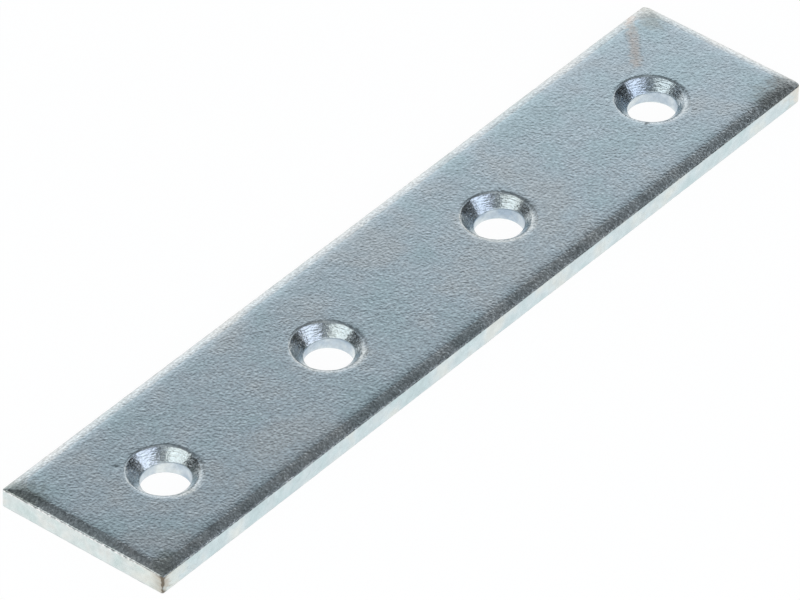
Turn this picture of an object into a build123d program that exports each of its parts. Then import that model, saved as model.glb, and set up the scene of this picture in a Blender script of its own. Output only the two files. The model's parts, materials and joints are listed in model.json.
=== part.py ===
from build123d import *
from math import radians, sqrt, tan
import os

# A straight mending plate: one strip of zinc-plated mild steel, blanked from
# sheet, with a row of countersunk holes for wood screws.
#
# X runs along the strip, Y across it, and Z up out of the countersunk face.
# The origin is the centre of the underside, the face that lies on the work.

# Blank
length = 100.0
width = 20.0
thickness = 2.5
corner_radius = 0.5  # corners of the blank, seen from above

# Edge roll. Shearing draws the top of the sheet down along every cut edge, in
# an arc that starts level and ends in an arris at the head of the cut wall.
roll_drop = 0.4  # how far the top has sunk where it meets the cut wall
side_roll_width = 1.95  # how far in from the two long edges the roll starts
end_roll_width = 1.5  # the same at the two cropped ends
flat_corner_radius = 3.0  # corners of the level area inside the rolls
roll_sections = 7  # outlines that the roll is lofted through

# Edges worn round by tumbling before the plating
arris_radius = 0.12  # where the roll meets the cut wall
underside_radius = 0.15  # round the underside and at the foot of each bore

# Screw holes, two on each side of the joint that the plate spans
hole_diameter = 5.0  # clearance for a 4.5 mm wood screw
countersink_diameter = 7.4
countersink_angle = 90.0
rim_radius = 0.3  # coined edge between the countersink and the level top
end_margin = 12.0  # from each end to the centre of its outer hole
centre_pitch = 26.6  # between the two inner holes, across the joint

# What follows from these sizes
wall_height = thickness - roll_drop
countersink_depth = (countersink_diameter - hole_diameter) / 2 / tan(radians(countersink_angle / 2))
bore_length = thickness - countersink_depth
outer_x = length / 2 - end_margin
inner_x = centre_pitch / 2


def roll_inset(drop, roll_width):
    """How far in from the edge a roll of this width lies, at a drop below the top."""
    arc_radius = (roll_width**2 + roll_drop**2) / (2 * roll_drop)
    return roll_width - sqrt(2 * arc_radius * drop - drop**2)


def roll_outline(share):
    """Outline of the plate part way up the roll: 0 at the cut wall, 1 at the level top."""
    drop = roll_drop * (1 - share) ** 2
    side_inset = roll_inset(drop, side_roll_width)
    end_inset = roll_inset(drop, end_roll_width)
    radius = corner_radius + (flat_corner_radius - corner_radius) * share
    outline = RectangleRounded(length - 2 * end_inset, width - 2 * side_inset, radius)
    return Pos(0, 0, thickness - drop) * outline


def make_blank():
    """The sheared strip, with its rolled top edges and its rounded underside."""
    wall = extrude(RectangleRounded(length, width, corner_radius), wall_height)
    crown = loft([roll_outline(i / (roll_sections - 1)) for i in range(roll_sections)])
    strip = wall + crown
    arris = strip.edges().filter_by_position(Axis.Z, wall_height, wall_height)
    strip = fillet(arris, arris_radius)
    underside = strip.faces().sort_by(Axis.Z).first
    return fillet(underside.edges(), underside_radius)


def hole_rings(plate):
    """The closed circular edges of the holes, in groups from the underside up."""
    return plate.edges().filter_by(lambda edge: edge.is_closed).group_by(Axis.Z)


def make_holes(strip):
    """The strip with its holes: bored through, countersunk, and their edges rounded."""
    bore = Cylinder(hole_diameter / 2, thickness, align=(Align.CENTER, Align.CENTER, Align.MIN))
    countersink = Cone(
        hole_diameter / 2,
        countersink_diameter / 2,
        countersink_depth,
        align=(Align.CENTER, Align.CENTER, Align.MAX),
    )
    hole = bore + Pos(0, 0, thickness) * countersink
    plate = strip - [Pos(x, 0, 0) * hole for x in (-outer_x, -inner_x, inner_x, outer_x)]
    plate = fillet(hole_rings(plate)[-1], rim_radius)
    return fillet(hole_rings(plate)[0], min(underside_radius, bore_length / 3))


plate = make_holes(make_blank())
os.makedirs("parts", exist_ok=True)
export_step(plate, "parts/mending_plate.step")
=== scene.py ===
import json
import math

import bpy
import bmesh
from mathutils import Matrix, Quaternion, Vector, geometry, noise


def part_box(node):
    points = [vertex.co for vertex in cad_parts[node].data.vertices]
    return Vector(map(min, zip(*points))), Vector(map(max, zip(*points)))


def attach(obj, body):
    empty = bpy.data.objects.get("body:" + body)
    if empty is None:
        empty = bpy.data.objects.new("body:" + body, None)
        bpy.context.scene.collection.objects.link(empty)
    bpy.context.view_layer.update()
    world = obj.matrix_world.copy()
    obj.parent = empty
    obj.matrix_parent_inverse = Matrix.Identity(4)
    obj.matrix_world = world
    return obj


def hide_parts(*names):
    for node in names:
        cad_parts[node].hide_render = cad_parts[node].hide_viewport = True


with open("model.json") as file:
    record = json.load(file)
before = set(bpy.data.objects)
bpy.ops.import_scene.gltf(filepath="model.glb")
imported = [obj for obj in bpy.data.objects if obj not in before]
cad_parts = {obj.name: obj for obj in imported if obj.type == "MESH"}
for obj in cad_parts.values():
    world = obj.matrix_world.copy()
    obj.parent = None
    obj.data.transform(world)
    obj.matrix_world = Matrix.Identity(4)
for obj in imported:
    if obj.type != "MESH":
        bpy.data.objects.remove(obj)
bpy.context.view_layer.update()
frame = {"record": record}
mm = 0.001
scene = bpy.context.scene
print("frame loaded")


def linearColour(hexText):
    # sRGB hex to the linear colour that sockets take
    channels = [int(hexText[i:i + 2], 16) / 255 for i in (1, 3, 5)]
    return [c / 12.92 if c <= 0.04045 else ((c + 0.055) / 1.055) ** 2.4 for c in channels] + [1.0]


def addNode(tree, kind, sockets=None, **settings):
    # settings go on the node itself; a socket takes a plain value or another node's output
    node = tree.nodes.new(kind)
    for name, value in settings.items():
        setattr(node, name, value)
    for socket, value in (sockets or {}).items():
        if isinstance(value, bpy.types.NodeSocket):
            tree.links.new(value, node.inputs[socket])
        else:
            node.inputs[socket].default_value = value
    return node


def newMaterial(name):
    material = bpy.data.materials.new(name)
    material.use_nodes = True
    material.node_tree.nodes.clear()
    return material


def directionTo(place):
    # from the middle of the plate toward a place's azimuth and elevation
    azimuth, elevation = math.radians(place["azimuth"]), math.radians(place["elevation"])
    return Vector((math.cos(azimuth) * math.cos(elevation),
                   math.sin(azimuth) * math.cos(elevation),
                   math.sin(elevation)))


def along(start, end, steps):
    # evenly spaced values from start up to, but not including, end
    return [start + (end - start) * i / steps for i in range(steps)]


def shares(steps):
    # evenly spaced shares of a way, without its start and with its end
    return [i / steps for i in range(1, steps + 1)]


# Camera: a long lens looking down the plate from beyond its left end
view = {
    "azimuth": -142.403,   # of the camera, from the middle of the underside
    "elevation": 38.9989,  # above the floor
    "distance": 977.2,
    "roll": 1.8765,        # turned anticlockwise
    "lens": 449.5,         # on a 36 mm sensor
    "aimRight": -1.1415,   # how far the aim lies beside the middle of the underside,
    "aimUp": -0.1977,      # and how far above it
    "clipStart": 10,
}


def makeCamera():
    back = directionTo(view)
    roll = math.radians(view["roll"])
    side = Vector((0, 0, 1)).cross(back).normalized()
    up = back.cross(side)
    right = side * math.cos(roll) + up * math.sin(roll)
    top = up * math.cos(roll) - side * math.sin(roll)
    place = back * view["distance"] + right * view["aimRight"] + top * view["aimUp"]
    camera = bpy.data.objects.new("camera", bpy.data.cameras.new("camera"))
    scene.collection.objects.link(camera)
    camera.data.lens = view["lens"]
    camera.data.clip_start = view["clipStart"] * mm
    turn = Matrix((right, top, back)).transposed().to_4x4()
    camera.matrix_world = Matrix.Translation(place * mm) @ turn
    scene.camera = camera


makeCamera()
print("camera placed")


# The plate: one mesh, in a patch round each hole and a border of rolled and cut edges
plate = {
    "cornerRadii": (0.3, 0.6),   # corners of the blank, seen from above, at its left and its right end
    "sideRoll": (0.43, 0.86),    # how far the shear drew the top down at the long edges, and in what
    "endRoll": (0.38, 0.66),     # distance that fades by three quarters; and the same at the cropped ends
    "rollWidth": 3.2,            # where both rolls have died away
    "levelCornerRadius": 4.5,    # corners of the level top inside the rolls
    "drawnWidth": 1.1,           # how much of the roll the shear roughened
    "arrisRadius": 0.12,         # where the roll meets the cut wall
    "edgeStrip": 0.12,           # top of the wall, which the shear chipped at the ends
    "footRadius": 0.15,          # round the underside and the foot of each bore
    "countersinkWidth": 7.4,
    "countersinkSlope": 45,      # of its wall
    "rimRadius": 0.12,           # coined edge round each countersink
    "wornRim": 11.0,             # how many times its own radius it grows by on its worn side
    "wornAzimuth": -110.0,       # which side that is
    "sinkDrift": (-0.2, -0.17),  # how far the countersinks lie from their nominal middles,
    "boreDrift": (0.0, -0.38),   # and how far the punched bores do
    "hollows": (0.016, 6.0),     # slow waves that the coil left in the sheet: depth and length
    "peel": (0.009, 1.3),        # orange peel of the rolled surface: the same
    "lumps": (0.02, 0.45),       # left by the cutting tools: the same
    "spacing": 0.34,             # of the mesh points along the edges
    "weld": 0.0005,              # mesh points this close become one
}

# Rows of mesh faces across each surface
rows = {"underside": 7, "boreFoot": 3, "bore": 8, "countersink": 14, "rim": 8, "top": 30,
        "roll": 22, "arris": 5, "wall": 10, "foot": 4}
rollCrowding = 1.5  # above 1, the roll's rows lie closer together toward the arris

# Small pits in the top: place, radius and depth
pits = [(-40.8, 3.5, 0.4, 0.05), (16.5, 2.1, 0.35, 0.04)]

# Stains of the passivation, and painted shade at the rolled corners of the top, on the top or on
# the cut walls: from and to (x, y, z), reach, colour and strength
stainsAndCornerShade = [
    {"on": "top", "start": (47.2, 9.8, 2.2), "end": (41.4, 4.3, 2.5), "reach": 0.75,
     "colour": "#DDCABC", "strength": 0.6},
    {"on": "walls", "start": (-50, -10, 0), "end": (-50, -10, 2.0), "reach": 1.7,
     "colour": "#B8AA96", "strength": 0.72},
    {"on": "walls", "start": (-49.9, -9.9, 0.2), "end": (-49.9, -9.9, 2.0), "reach": 0.5,
     "colour": "#6B5B46", "strength": 0.9},
    # painted shade: an olive grey on a rolled corner, where its tilt mirrors a darker part of the studio
    {"on": "top", "start": (-49.5, 7, 2.3), "end": (-49.5, 9.5, 2.2), "reach": 2.4,
     "colour": "#92978D", "strength": 0.6},
    # painted shade: a darker warm grey on a rolled corner
    {"on": "top", "start": (45.5, -9.2, 2.3), "end": (49.5, -8.8, 2.3), "reach": 2.2,
     "colour": "#97938B", "strength": 0.6},
    {"on": "top", "start": (-48, -5, 2.4), "end": (-45, -8, 2.4), "reach": 2.4,
     "colour": "#CFC9C4", "strength": 0.35},
    # painted shade: a greyer tint on a rolled corner
    {"on": "top", "start": (48, 7.5, 2.4), "end": (49.2, 9, 2.3), "reach": 1.9,
     "colour": "#BDBBB0", "strength": 0.5},
    {"on": "walls", "start": (-50, -10, 0), "end": (-50, -10, 2.0), "reach": 5.0,
     "colour": "#E4E6DC", "strength": 0.5},
    # painted shade: an olive grey on the near rolled corner
    {"on": "top", "start": (-49.4, -9.4, 2.3), "end": (-47.6, -8.6, 2.4), "reach": 1.7,
     "colour": "#92968A", "strength": 0.5},
    {"on": "walls", "start": (50, -10, 0), "end": (50, -10, 2.1), "reach": 2.2,
     "colour": "#E6E0D4", "strength": 0.8},
    {"on": "walls", "start": (50, -9.7, 0.2), "end": (50, -9.7, 2.1), "reach": 0.3,
     "colour": "#8A8274", "strength": 0.8},
    {"on": "top", "start": (34.3, -2.4, 2.4), "end": (34.5, -2.3, 2.4), "reach": 0.25,
     "colour": "#555A5C", "strength": 0.9},
    {"on": "walls", "start": (-14.4, 0.1, 0.3), "end": (-14.4, 0.1, 0.4), "reach": 0.35,
     "colour": "#555A5C", "strength": 0.8},
]
stainOrShadeEdge = {
    "waves": [(0.6, 0.45), (0.27, 0.5)],  # length of each wave in it, and its size as a share of the reach
    "hardness": 1.4,
}

# Each surface: its finish, and how much sheet relief and how many tool lumps it has.
# The surface of an end comes straight after the same one of a side.
surfaces = {
    "underside": ("rolledZincSheet", 1.0, 0.0),
    "bore": ("punchedZincBore", 0.1, 0.15),
    "countersink": ("drilledZincCountersink", 0.3, 1.0),
    "rim": ("coinedZincRim", 1.0, 1.2),
    "top": ("rolledZincSheet", 1.0, 0.0),
    "roll": ("drawnZincRoll", 1.0, 0.0),
    "sideArris": ("wornAndShadedZincArris", 1.0, 2.0),
    "endArris": ("brokenAndShadedZincArris", 1.0, 6.0),
    "sideStrip": ("slitZincSide", 0.6, 0.5),
    "endStrip": ("chippedZincEnd", 1.0, 6.0),
    "sideWall": ("slitZincSide", 0.6, 0.1),
    "endWall": ("croppedZincEnd", 0.6, 0.1),
    "foot": ("burredZincFoot", 0.6, 1.0),
}
surfaceNames = list(surfaces)

halfLength, halfWidth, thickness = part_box("mending_plate")[1] / mm
bores = [mount for mount in frame["record"]["mounts"] if mount["kind"] == "bore"]
holeCentres = sorted(mount["pos_m"][0] / mm for mount in bores)
boreRadius = bores[0]["dims"]["r_mm"]
sinkRadius = plate["countersinkWidth"] / 2
levelHalfLength = halfLength - plate["rollWidth"]
levelHalfWidth = halfWidth - plate["rollWidth"]
levelStraight = levelHalfLength - plate["levelCornerRadius"]
levelOutline = (levelHalfLength, levelHalfWidth, [plate["levelCornerRadius"]] * 2, thickness, thickness)
footOutline = (halfLength - plate["footRadius"], halfWidth - plate["footRadius"],
               [corner - plate["footRadius"] for corner in plate["cornerRadii"]], 0, 0)


# A spot on a rounded outline is its shares of the two straight runs and its direction round a corner,
# so the same spots serve every outline from the level top down to the underside. An outline has a
# corner radius for each end of the plate, and one height at its ends and one at its sides.
def outlinePoint(spot, halfX, halfY, radii, endZ, sideZ):
    shareX, shareY, turnX, turnY = spot
    radius = radii[0] + (radii[1] - radii[0]) * (1 + shareX) / 2
    x = shareX * (halfX - radius) + turnX * radius
    y = shareY * (halfY - radius) + turnY * radius
    return Vector((x, y, sideZ + (endZ - sideZ) * turnX ** 2))


def sideSpots(start, end, side):
    steps = round(abs(end - start) * levelStraight / plate["spacing"])
    return [(share, side, 0, side) for share in along(start, end, steps)]


def endSpots(end):
    steps = round(2 * (levelHalfWidth - plate["levelCornerRadius"]) / plate["spacing"])
    return [(end, share, end, 0) for share in along(-end, end, steps)]


def cornerSpots(endX, endY, startAngle):
    steps = round(plate["levelCornerRadius"] * math.pi / 2 / plate["spacing"])
    angles = [math.radians(a) for a in along(startAngle, startAngle + 90, steps)]
    return [(endX, endY, math.cos(a), math.sin(a)) for a in angles]


def joinSpots(share, way):
    # straight across the plate, where two patches meet
    steps = round(2 * levelHalfWidth / plate["spacing"])
    return [(share, across, 0, across) for across in along(-way, way, steps)]


def roundEnd(end):
    if end > 0:
        return cornerSpots(1, -1, -90) + endSpots(1) + cornerSpots(1, 1, 0)
    return cornerSpots(-1, 1, 90) + endSpots(-1) + cornerSpots(-1, -1, 180)


def patchLoops():
    # the closed loop of spots round each hole's patch, and the one round the whole plate
    middles = [(a + b) / 2 / levelStraight for a, b in zip(holeCentres, holeCentres[1:])]
    borders = [-1.0] + middles + [1.0]
    pairs = list(zip(borders, borders[1:]))
    loops = []
    for left, right in pairs:
        loops.append(sideSpots(left, right, -1)
                     + (roundEnd(1) if right == 1 else joinSpots(right, 1))
                     + sideSpots(right, left, 1)
                     + (roundEnd(-1) if left == -1 else joinSpots(left, -1)))
    whole = [spot for left, right in pairs for spot in sideSpots(left, right, -1)] + roundEnd(1)
    whole += [spot for left, right in reversed(pairs) for spot in sideSpots(right, left, 1)] + roundEnd(-1)
    return loops, whole


def arc(centre, radius, start, end, steps):
    # points on an arc in the plane of (distance, height), both ends included
    angles = [math.radians(start + (end - start) * i / steps) for i in range(steps + 1)]
    return [(centre[0] + radius * math.cos(a), centre[1] + radius * math.sin(a)) for a in angles]


def patchRings(spots, centreX):
    # from the foot of the border, in under the plate, up through the hole and out over the level top
    sinkCentre, boreCentre = (Vector((centreX + plate[drift][0], plate[drift][1], 0))
                              for drift in ("sinkDrift", "boreDrift"))
    foot = plate["footRadius"]
    slope = plate["countersinkSlope"]
    borderTop = [outlinePoint(spot, *levelOutline) for spot in spots]
    borderFoot = [outlinePoint(spot, *footOutline) for spot in spots]
    rays = [(p - boreCentre).to_2d().normalized() for p in borderTop]
    wornAngle = math.radians(plate["wornAzimuth"])
    wornWay = Vector((math.cos(wornAngle), math.sin(wornAngle)))

    def boreCircle(radius, height):
        return [boreCentre + Vector((radius * ray.x, radius * ray.y, height)) for ray in rays]

    def onCone(point):
        # the same place on the wall of the countersink
        distance = (point - sinkCentre).to_2d().length
        rise = (distance - sinkRadius) * math.tan(math.radians(slope))
        return Vector((point.x, point.y, thickness + rise))

    def rimArc(ray):
        # the wear is full on the worn side and nothing across from it
        worn = (0.5 + 0.5 * ray.dot(wornWay)) ** 2
        rim = plate["rimRadius"] * (1 + plate["wornRim"] * worn)
        rimCentre = (sinkRadius + rim * math.tan(math.radians(slope / 2)), thickness - rim)
        return [sinkCentre + Vector((distance * ray.x, distance * ray.y, height))
                for distance, height in arc(rimCentre, rim, 90 + slope, 90, rows["rim"])]

    def between(start, end, steps):
        return [[a.lerp(b, share) for a, b in zip(start, end)] for share in shares(steps)]

    footArc = arc((boreRadius + foot, foot), foot, 270, 180, rows["boreFoot"])
    footCircles = [boreCircle(*spot) for spot in footArc]
    boreEdge = [onCone(point) for point in footCircles[-1]]
    rimRings = list(zip(*[rimArc(ray) for ray in rays]))
    rings = [(points, "underside") for points in
             [borderFoot] + between(borderFoot, footCircles[0], rows["underside"]) + footCircles[1:]]
    rings += [(points, "bore") for points in between(footCircles[-1], boreEdge, rows["bore"])]
    rings += [([onCone(point) for point in points], "countersink")
              for points in between(boreEdge, rimRings[0], rows["countersink"])]
    rings += [(points, "rim") for points in rimRings[1:]]
    return rings + [(points, "top") for points in between(rimRings[-1], borderTop, rows["top"])]


def rollDepth(roll, distance):
    # how far the roll has drawn the top down at a distance from the cut
    drop, fade = plate[roll]
    return drop * (math.tanh(plate["rollWidth"] / fade) - math.tanh(distance / fade))


def borderRings(spots):
    # from the level top, out over the roll and the arris, down the wall and in under the foot
    rolls = ("endRoll", "sideRoll")
    foot = plate["footRadius"]
    arris = plate["arrisRadius"]
    corners = plate["cornerRadii"]
    rings = []

    def addRing(inset, heights, radii, surface):
        outline = (halfLength - inset, halfWidth - inset, radii, *heights)
        rings.append(([outlinePoint(spot, *outline) for spot in spots], surface))

    # the roll's tilt where the arris begins
    tilts = [math.atan(plate[roll][0] / plate[roll][1]) for roll in rolls]
    tilt = sum(tilts) / 2
    arrisInset = arris * (1 - math.sin(tilt))
    for share in [0] + shares(rows["roll"]):
        inset = arrisInset + (plate["rollWidth"] - arrisInset) * (1 - share) ** rollCrowding
        radii = [corner + (plate["levelCornerRadius"] - corner) * inset / plate["rollWidth"]
                 for corner in corners]
        heights = [thickness - rollDepth(roll, inset) for roll in rolls]
        addRing(inset, heights, radii, "roll" if inset < plate["drawnWidth"] else "top")
    arrisCentres = [height - arris * math.cos(tilt) for height in heights]
    for inset, height in arc((arris, 0), arris, 90 + math.degrees(tilt), 180, rows["arris"])[1:]:
        addRing(inset, [centre + height for centre in arrisCentres], corners, "sideArris")
    wallTops = [centre - plate["edgeStrip"] for centre in arrisCentres]
    addRing(0, wallTops, corners, "sideStrip")
    for share in shares(rows["wall"]):
        addRing(0, [top + (foot - top) * share for top in wallTops], corners, "sideWall")
    for inset, height in arc((foot, foot), foot, 180, 270, rows["foot"])[1:]:
        addRing(inset, [height, height], [corner - inset for corner in corners], "foot")
    return rings


def addStrip(mesh, rings, centreX=0):
    # the way round the countersink and the distance from its axis guide the marks of the tool that cut it
    turned = mesh.verts.layers.float_vector["turned"]
    axisX, axisY = centreX + plate["sinkDrift"][0], plate["sinkDrift"][1]
    lines = []
    for points, surface in rings:
        line = [mesh.verts.new(point) for point in points]
        for vertex in line:
            fromAxis = vertex.co - Vector((axisX, axisY, vertex.co.z))
            vertex[turned] = fromAxis.normalized() + Vector((0, 0, fromAxis.length))
        lines.append(line)
    for lower, upper, (points, surface) in zip(lines, lines[1:], rings[1:]):
        for i in range(len(points)):
            face = mesh.faces.new((lower[i - 1], lower[i], upper[i], upper[i - 1]))
            face.material_index = surfaceNames.index(surface)
            face.smooth = True


def reliefDepth(point, sheetShare, toolShare):
    # how far a point lies below its true surface; never above it, so the plate keeps its size
    def waves(name):
        depth, length = plate[name]
        return depth * (0.5 + 0.5 * noise.noise(point / length))

    dents = sum(depth * max(1 - (point.xy - Vector((x, y))).length / radius, 0)
                for x, y, radius, depth in pits if point.z > thickness / 2)
    return sheetShare * (waves("hollows") + waves("peel")) + toolShare * waves("lumps") + dents


def stainOrShadeOf(point, normal):
    # colour and strength of the strongest stain or painted corner shade that reaches a point
    shade = Vector((0, 0, 0, 0))
    for stainOrShade in stainsAndCornerShade:
        start, end = Vector(stainOrShade["start"]), Vector(stainOrShade["end"])
        nearest, share = geometry.intersect_point_line(point, start, end)
        nearest = start.lerp(end, min(max(share, 0), 1))
        distance = (point - nearest).length / stainOrShade["reach"]
        for length, size in stainOrShadeEdge["waves"]:
            distance += size * noise.noise(point / length)
        facing = max(normal.z, 0) if stainOrShade["on"] == "top" else 1 - abs(normal.z)
        strength = stainOrShade["strength"] * facing * min(max(stainOrShadeEdge["hardness"] * (1 - distance), 0), 1)
        if strength > shade[3]:
            shade = Vector(linearColour(stainOrShade["colour"])[:3] + [strength])
    return shade


def makePlate():
    mesh = bmesh.new()
    mesh.verts.layers.float_vector.new("turned")
    # colour of the stains and of the painted corner shade at each point
    stainedOrShaded = mesh.verts.layers.float_color.new("stainedOrShaded")
    loops, whole = patchLoops()
    for spots, centreX in zip(loops, holeCentres):
        addStrip(mesh, patchRings(spots, centreX), centreX)
    addStrip(mesh, borderRings(whole))
    bmesh.ops.remove_doubles(mesh, verts=mesh.verts, dist=plate["weld"])
    bmesh.ops.recalc_face_normals(mesh, faces=mesh.faces)
    mesh.normal_update()
    for face in mesh.faces:
        # the cut edges at the two ends were cropped, and the two long ones slit
        if surfaceNames[face.material_index].startswith("side") and abs(face.normal.x) > abs(face.normal.y):
            face.material_index += 1
    for vertex in mesh.verts:
        reliefs = [surfaces[surfaceNames[face.material_index]][1:] for face in vertex.link_faces]
        sheetShare, toolShare = (sum(relief) / len(reliefs) for relief in zip(*reliefs))
        vertex[stainedOrShaded] = stainOrShadeOf(vertex.co, vertex.normal)
        vertex.co -= vertex.normal * reliefDepth(vertex.co, sheetShare, toolShare)
    bmesh.ops.scale(mesh, vec=(mm, mm, mm), verts=mesh.verts)
    data = bpy.data.meshes.new("zincPlate")
    mesh.to_mesh(data)
    mesh.free()
    piece = bpy.data.objects.new("zincPlate", data)
    scene.collection.objects.link(piece)
    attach(piece, "root")
    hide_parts("mending_plate")
    return piece


piece = makePlate()
print("plate meshed:", len(piece.data.polygons), "faces")


# Bright zinc electroplate on mild steel. Zinc is a bluish white metal with about three quarters
# reflectance, and the clear passivation over it gives faint green, blue and straw clouds.
zinc = {
    "cloudSize": 6.0,                 # of those clouds, where a finish doesn't say
    "cloudStops": (0.35, 0.5, 0.65),  # where in the noise their three colours lie
    "noiseSpan": (0.3, 0.7),          # what most of a noise lies between
    "grainShade": 0.035,                    # how dark the painted shade in the grain's hollows is, where a finish doesn't say
    "grainShadeSpan": (-1.5, 0.5),          # how many times that the painted shading darkens and lightens
    "grainShadeSize": 0.95,                 # size of the painted shading against the grain's
    "glossSize": 1.5,                 # over which the roughness changes
    "patchSize": 3.0,                 # over which the grain is now stronger, now weaker,
    "patchSpan": (0.6, 1.0),          # and between which strengths
    "markTurns": 4,                   # a tool mark breaks up about this many times in a radian
}

# Each finish: colours of its clouds, roughness range, and size and depth of a grain and of a finer one.
# The plating's own crystals are too small to show, so the finer grain stands for them and is drawn coarser.
# An edge is the colour of the metal at a glancing angle, where that isn't white.
finishes = {
    # rolling left an orange peel in the sheet, which breaks what the top mirrors into short ripples
    "rolledZincSheet": {
        "clouds": ["#D1E1E4", "#D6E1E5", "#DAE0E1"], "roughness": (0.14, 0.21),
        "grainShade": 0.15, "grain": (0.3, 0.04), "fine": (0.16, 0.005)},
    # the shear stretched the sheet there, so its peel is rougher and the edge looks grainy
    "drawnZincRoll": {
        "clouds": ["#CFD8D9", "#DAE0E1", "#E1E3E1"], "roughness": (0.14, 0.21),
        "grainShade": 0.22, "grain": (0.3, 0.06), "fine": (0.16, 0.009)},
    # pressed round and worn, with a soft mottled gleam
    "coinedZincRim": {
        "clouds": ["#C6D2D6", "#CDD6DA", "#D2D6D4"], "roughness": (0.16, 0.24),
        "grainShade": 0.2, "grain": (0.26, 0.06), "fine": (0.14, 0.01)},
    # cut by a turning tool: bright, with streaks round the cone
    "drilledZincCountersink": {
        "clouds": ["#C9D5DC", "#D3DCE0", "#D6DDDD"], "roughness": (0.16, 0.26),
        "grainShade": 0.08, "grain": (0.3, 0.03), "fine": (0.15, 0.01),
        "turning": (0.13, 0.035)},  # pitch and depth of the streaks
    # torn by the punch, so it is duller and paler
    "punchedZincBore": {
        "clouds": ["#AEBFCE", "#CDD9E1", "#E8EFEF"], "cloudSize": 2.5, "roughness": (0.25, 0.35),
        "grainShade": 0.07, "grain": (0.35, 0.012), "fine": (0.2, 0.003)},
    # slit smooth, with faint bluish clouds
    "slitZincSide": {
        "clouds": ["#C9DBDE", "#D5E2E5", "#E1E7E4"], "cloudSize": 3.0, "roughness": (0.22, 0.32),
        "grainShade": 0.06, "grain": (0.6, 0.004), "fine": (0.2, 0.002)},
    # cropped smooth, with paler and greener clouds
    "croppedZincEnd": {
        "clouds": ["#D5E3E2", "#DFE8E7", "#E8EAE6"], "cloudSize": 2.5, "roughness": (0.22, 0.32),
        "grainShade": 0.06, "grain": (0.6, 0.004), "fine": (0.2, 0.002)},
    # rubbed against other plates, in spots of dull and bright; its dark colour and grey edge are painted
    # shade, a dark line drawn along the long edges
    "wornAndShadedZincArris": {
        "clouds": ["#565E61", "#80888B", "#B8BDBE"], "cloudSize": 0.4, "roughness": (0.22, 0.32),
        "edge": "#909698", "grain": (0.3, 0.03), "fine": (0.15, 0.006)},
    # chipped by the crop, so it sparkles along the head of the wall
    "chippedZincEnd": {
        "clouds": ["#B4BABB", "#EDF0EF", "#FFFFFF"], "cloudSize": 0.4, "roughness": (0.1, 0.2),
        "grainShade": 0.1, "grain": (0.4, 0.04), "fine": (0.12, 0.006)},
    # broken by the crop, with the same chips bright in it; its dark grey and grey edge are painted shade, a
    # dark line drawn along the ends
    "brokenAndShadedZincArris": {
        "clouds": ["#5A6164", "#8F9698", "#FFFFFF"], "cloudSize": 0.4, "roughness": (0.1, 0.2),
        "edge": "#A0A6A8", "grain": (0.4, 0.06), "fine": (0.12, 0.006)},
    # a rough line where the sheet tore free
    "burredZincFoot": {
        "clouds": ["#9DA8AB", "#BCC7CA", "#D8DDDD"], "cloudSize": 0.8, "roughness": (0.22, 0.32),
        "grainShade": 0.1, "grain": (0.3, 0.02), "fine": (0.15, 0.006)},
}


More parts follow.
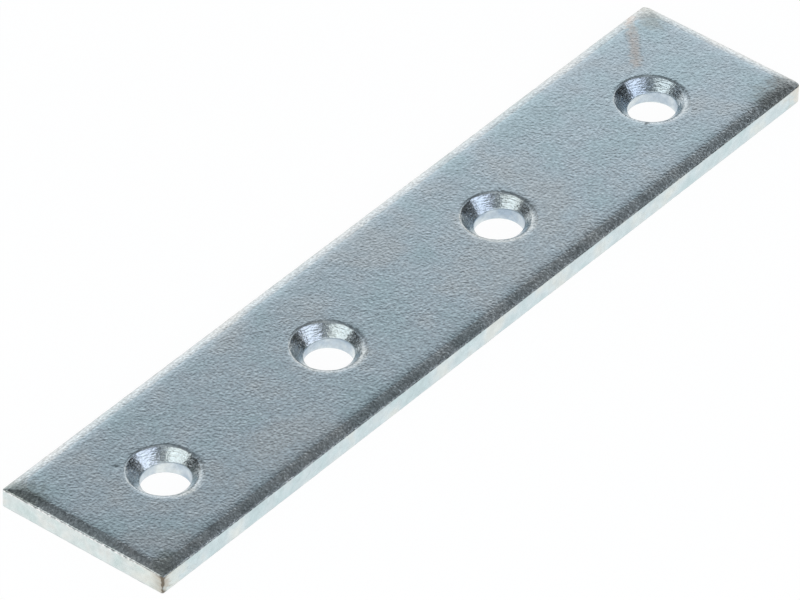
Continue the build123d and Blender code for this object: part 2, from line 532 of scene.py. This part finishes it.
def makeZinc(name):
    finish = finishes[name]
    grainSize, grainDepth = finish["grain"]
    fineSize, fineDepth = finish["fine"]
    material = newMaterial(name)
    tree = material.node_tree
    place = addNode(tree, "ShaderNodeTexCoord").outputs["Object"]
    inMm = addNode(tree, "ShaderNodeVectorMath", {0: place, 3: 1 / mm}, operation="SCALE").outputs[0]

    def noiseOf(size, detail):
        return addNode(tree, "ShaderNodeTexNoise",
                       {"Vector": inMm, "Scale": 1 / size, "Detail": detail}).outputs["Fac"]

    def between(value, low, high):
        start, end = zinc["noiseSpan"]
        return addNode(tree, "ShaderNodeMapRange",
                       {"Value": value, "From Min": start, "From Max": end,
                        "To Min": low, "To Max": high}).outputs[0]

    def bumpOf(height, depth, **others):
        return addNode(tree, "ShaderNodeBump",
                       {"Height": height, "Distance": depth * mm, **others}).outputs[0]

    # colour: clouds, then stains and painted corner shade, then the painted shade of the grain's hollows
    cloudNoise = noiseOf(finish.get("cloudSize", zinc["cloudSize"]), 3)
    clouds = addNode(tree, "ShaderNodeValToRGB", {"Fac": cloudNoise})
    clouds.color_ramp.elements.new(0.5)
    for element, stop, hexText in zip(clouds.color_ramp.elements, zinc["cloudStops"], finish["clouds"]):
        element.position = stop
        element.color = linearColour(hexText)
    stainedOrShaded = addNode(tree, "ShaderNodeAttribute", attribute_name="stainedOrShaded").outputs
    tinted = addNode(tree, "ShaderNodeMix",
                     {0: stainedOrShaded["Alpha"], 6: clouds.outputs["Color"], 7: stainedOrShaded["Color"]},
                     data_type="RGBA").outputs[2]
    # painted shade of the grain: the colour darker and lighter in a noise near the grain's size
    grainShade = finish.get("grainShade", zinc["grainShade"])
    darkest, lightest = (1 + times * grainShade for times in zinc["grainShadeSpan"])
    shading = between(noiseOf(grainSize * zinc["grainShadeSize"], 2), darkest, lightest)
    colour = addNode(tree, "ShaderNodeVectorMath", {0: tinted, 3: shading}, operation="SCALE").outputs[0]

    # relief: the grain, the finer one over it, and over both the streaks of a turning tool
    patches = between(noiseOf(zinc["patchSize"], 2), *zinc["patchSpan"])
    relief = bumpOf(noiseOf(grainSize, 2), grainDepth, Strength=patches)
    relief = bumpOf(noiseOf(fineSize, 1), fineDepth, Normal=relief)
    if "turning" in finish:
        pitch, depth = finish["turning"]
        turned = addNode(tree, "ShaderNodeAttribute", attribute_name="turned").outputs["Vector"]
        scales = (zinc["markTurns"], zinc["markTurns"], 1 / pitch)
        wound = addNode(tree, "ShaderNodeMapping", {"Vector": turned, "Scale": scales}).outputs[0]
        streaks = addNode(tree, "ShaderNodeTexNoise", {"Vector": wound, "Scale": 1.0, "Detail": 2})
        relief = bumpOf(streaks.outputs["Fac"], depth, Normal=relief)
    roughness = between(noiseOf(zinc["glossSize"], 2), *finish["roughness"])
    shader = addNode(tree, "ShaderNodeBsdfPrincipled", {
        "Base Color": colour, "Metallic": 1.0, "Specular Tint": linearColour(finish.get("edge", "#FFFFFF")),
        "Roughness": roughness, "Normal": relief})
    addNode(tree, "ShaderNodeOutputMaterial", {"Surface": shader.outputs[0]})
    return material


materials = {name: makeZinc(name) for name in finishes}
for surface in surfaces.values():
    piece.data.materials.append(materials[surface[0]])
print("zinc finishes made")


# Studio: a pale sweep under and behind the plate, a dim ceiling, a softbox each side of the camera
# and a weak one behind
studio = {
    # the sweep's colour by how far up it lies: -1 straight down, 0 level and 1 straight up
    "sweep": [(-1.0, "#FFFFFF"), (0.05, "#FFFFFF"), (0.24, "#FBFCFD"), (0.33, "#F0F3F5"), (0.42, "#D9DEE2"),
              (0.51, "#C1C8CE"), (0.57, "#BAC2C9"), (0.66, "#B7BFC6"), (0.685, "#ABB3B9"),
              (0.703, "#8A9095"), (0.718, "#70757A"), (0.745, "#505559"), (0.78, "#3C4145"),
              (0.805, "#54595D"), (0.835, "#83888C"), (0.90, "#8F9498"), (0.945, "#8F9498"),
              (0.97, "#B8BDC1"), (1.0, "#CDD2D6")],
    "floorSize": 4000,
    "floorColour": "#F2F2F2",
    "floorGlow": 1.05,      # how white the floor looks to the camera and in the metal,
    "floorGlowShare": 0.9,  # and how much of its look that is; the rest is lit, and holds the shadow
    "softboxes": {
        "rightSoftbox": {"azimuth": -86, "elevation": 38, "distance": 450, "width": 460, "height": 230,
                         "colour": "#E4EAFF", "radiance": 1.0},
        "leftSoftbox": {"azimuth": 169, "elevation": 43, "distance": 450, "width": 460, "height": 220,
                        "colour": "#F7FAF5", "radiance": 1.05},
        "backLight": {"azimuth": 44, "elevation": 21, "distance": 300, "width": 400, "height": 170,
                      "colour": "#F0F6FF", "radiance": 0.24},
    },
    # Black flags that keep the sweep from lighting the countersinks from the side. Each is turned about
    # its own middle, to follow what a countersink mirrors and stay clear of what the flat top mirrors.
    "flags": {
        "rightFlag": {"azimuth": -30, "elevation": 19, "turn": -33, "distance": 500,
                      "width": 532, "height": 185},
        "leftFlag": {"azimuth": 117, "elevation": 24, "turn": 31, "distance": 500,
                     "width": 490, "height": 190},
    },
    "flagColour": "#333333",
}


def makeWorld():
    world = bpy.data.worlds.new("studioSweep")
    scene.world = world
    world.use_nodes = True
    tree = world.node_tree
    tree.nodes.clear()
    direction = addNode(tree, "ShaderNodeTexCoord").outputs["Generated"]
    upward = addNode(tree, "ShaderNodeSeparateXYZ", {0: direction}).outputs["Z"]
    share = addNode(tree, "ShaderNodeMapRange", {"Value": upward, "From Min": -1.0, "From Max": 1.0})
    sweep = addNode(tree, "ShaderNodeValToRGB", {"Fac": share.outputs[0]})
    ramp = sweep.color_ramp
    while len(ramp.elements) < len(studio["sweep"]):
        ramp.elements.new(0.5)
    for element, (height, hexText) in zip(ramp.elements, studio["sweep"]):
        element.position = (height + 1) / 2
        element.color = linearColour(hexText)
    light = addNode(tree, "ShaderNodeBackground", {"Color": sweep.outputs["Color"]})
    addNode(tree, "ShaderNodeOutputWorld", {"Surface": light.outputs[0]})


def makeCard(name, width, height, material):
    x, y = width * mm / 2, height * mm / 2
    data = bpy.data.meshes.new(name)
    data.from_pydata([(-x, -y, 0), (x, -y, 0), (x, y, 0), (-x, y, 0)], [], [(0, 1, 2, 3)])
    data.materials.append(material)
    card = bpy.data.objects.new(name, data)
    scene.collection.objects.link(card)
    return card


def makeFloor():
    paleCard = newMaterial("paleCard")
    tree = paleCard.node_tree
    lit = addNode(tree, "ShaderNodeBsdfDiffuse", {"Color": linearColour(studio["floorColour"])})
    glow = addNode(tree, "ShaderNodeEmission", {"Strength": studio["floorGlow"]})
    path = addNode(tree, "ShaderNodeLightPath").outputs
    seen = path["Is Camera Ray"]
    for ray in ("Is Glossy Ray", "Is Transmission Ray"):
        seen = addNode(tree, "ShaderNodeMath", {0: seen, 1: path[ray]}, operation="MAXIMUM").outputs[0]
    share = addNode(tree, "ShaderNodeMath", {0: seen, 1: studio["floorGlowShare"]}, operation="MULTIPLY")
    mixed = addNode(tree, "ShaderNodeMixShader",
                    {0: share.outputs[0], 1: lit.outputs[0], 2: glow.outputs[0]})
    addNode(tree, "ShaderNodeOutputMaterial", {"Surface": mixed.outputs[0]})
    floor = makeCard("floor", studio["floorSize"], studio["floorSize"], paleCard)


def makeSoftbox(name, box):
    outward = directionTo(box)
    lamp = bpy.data.lights.new(name, "AREA")
    lamp.shape = "RECTANGLE"
    lamp.size = box["width"] * mm
    lamp.size_y = box["height"] * mm
    lamp.color = linearColour(box["colour"])[:3]
    lamp.energy = box["radiance"] * math.pi * lamp.size * lamp.size_y
    softbox = bpy.data.objects.new(name, lamp)
    scene.collection.objects.link(softbox)
    softbox.location = outward * box["distance"] * mm
    softbox.rotation_euler = outward.to_track_quat("Z", "Y").to_euler()
    softbox.visible_camera = False


def makeFlags():
    blackCard = newMaterial("blackCard")
    tree = blackCard.node_tree
    black = addNode(tree, "ShaderNodeBsdfDiffuse", {"Color": linearColour(studio["flagColour"])})
    addNode(tree, "ShaderNodeOutputMaterial", {"Surface": black.outputs[0]})
    for name, place in studio["flags"].items():
        flag = makeCard(name, place["width"], place["height"], blackCard)
        outward = directionTo(place)
        turned = Quaternion((0, 0, 1), math.radians(place["turn"]))
        flag.location = outward * place["distance"] * mm
        flag.rotation_euler = (outward.to_track_quat("Z", "Y") @ turned).to_euler()
        flag.visible_camera = False


makeWorld()
makeFloor()
for name, box in studio["softboxes"].items():
    makeSoftbox(name, box)
makeFlags()
scene.view_settings.view_transform = "Standard"
print("studio lit")
